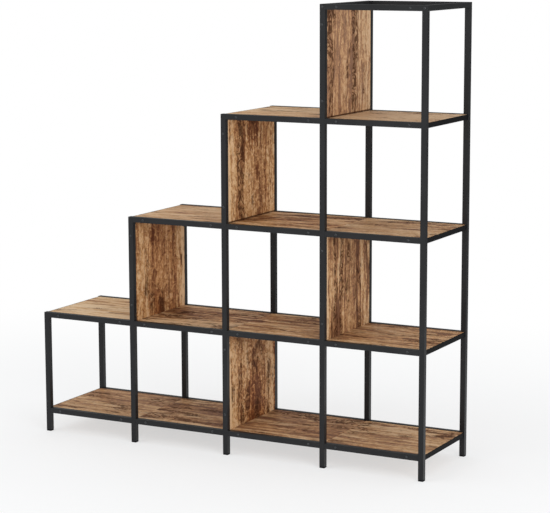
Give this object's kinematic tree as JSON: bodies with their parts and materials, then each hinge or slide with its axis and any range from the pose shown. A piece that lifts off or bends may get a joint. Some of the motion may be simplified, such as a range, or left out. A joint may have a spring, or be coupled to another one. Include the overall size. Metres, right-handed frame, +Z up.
{
  "type": "staircase bookshelf",
  "caption": "Open bookshelf stepped like a stair, with a black square-tube frame, wood boards and upright wood panels between some of its cells.",
  "frame": {"origin": "on the floor, under the middle of the frame's width and depth", "axes": "+Z up; +X towards the tallest column; the front faces -Y and the back faces +Y"},
  "size_m": [1.2, 0.3036, 1.253],
  "materials": {
    "frame_steel": "matte black powder coat on square steel tube, with black screws",
    "shelf_wood": "rustic brown boards with streaks and knots, grain along the shelf, low sheen",
    "panel_wood": "rustic brown upright panels with flecks, grain upright, low sheen"
  },
  "bodies": {
    "root": {"front_leg_1": "frame_steel", "front_leg_2": "frame_steel", "front_leg_3": "frame_steel", "front_leg_4": "frame_steel", "front_leg_5": "frame_steel", "front_rail_level_1_column_1": "frame_steel", "front_rail_level_1_column_2": "frame_steel", "front_rail_level_1_column_3": "frame_steel", "front_rail_level_1_column_4": "frame_steel", "front_rail_level_2_column_1": "frame_steel", "front_rail_level_2_column_2": "frame_steel", "front_rail_level_2_column_3": "frame_steel", "front_rail_level_2_column_4": "frame_steel", "front_rail_level_3_column_2": "frame_steel", "front_rail_level_3_column_3": "frame_steel", "front_rail_level_3_column_4": "frame_steel", "front_rail_level_4_column_3": "frame_steel", "front_rail_level_4_column_4": "frame_steel", "front_rail_level_5_column_4": "frame_steel", "rear_leg_1": "frame_steel", "rear_leg_2": "frame_steel", "rear_leg_3": "frame_steel", "rear_leg_4": "frame_steel", "rear_leg_5": "frame_steel", "rear_rail_level_1_column_1": "frame_steel", "rear_rail_level_1_column_2": "frame_steel", "rear_rail_level_1_column_3": "frame_steel", "rear_rail_level_1_column_4": "frame_steel", "rear_rail_level_2_column_1": "frame_steel", "rear_rail_level_2_column_2": "frame_steel", "rear_rail_level_2_column_3": "frame_steel", "rear_rail_level_2_column_4": "frame_steel", "rear_rail_level_3_column_2": "frame_steel", "rear_rail_level_3_column_3": "frame_steel", "rear_rail_level_3_column_4": "frame_steel", "rear_rail_level_4_column_3": "frame_steel", "rear_rail_level_4_column_4": "frame_steel", "rear_rail_level_5_column_4": "frame_steel", "top_side_bar_left": "frame_steel", "top_side_bar_right": "frame_steel", "board_level_1_column_1": "shelf_wood", "board_level_1_column_2": "shelf_wood", "board_level_1_column_3": "shelf_wood", "board_level_1_column_4": "shelf_wood", "board_level_2_column_1": "shelf_wood", "board_level_2_column_2": "shelf_wood", "board_level_2_column_3": "shelf_wood", "board_level_2_column_4": "shelf_wood", "board_level_3_column_2": "shelf_wood", "board_level_3_column_3": "shelf_wood", "board_level_3_column_4": "shelf_wood", "board_level_4_column_3": "shelf_wood", "board_level_4_column_4": "shelf_wood", "panel_column_2_row_2": "panel_wood", "panel_column_3_row_1": "panel_wood", "panel_column_3_row_3": "panel_wood", "panel_column_4_row_2": "panel_wood", "panel_column_4_row_4": "panel_wood"}
  },
  "joints": []
}
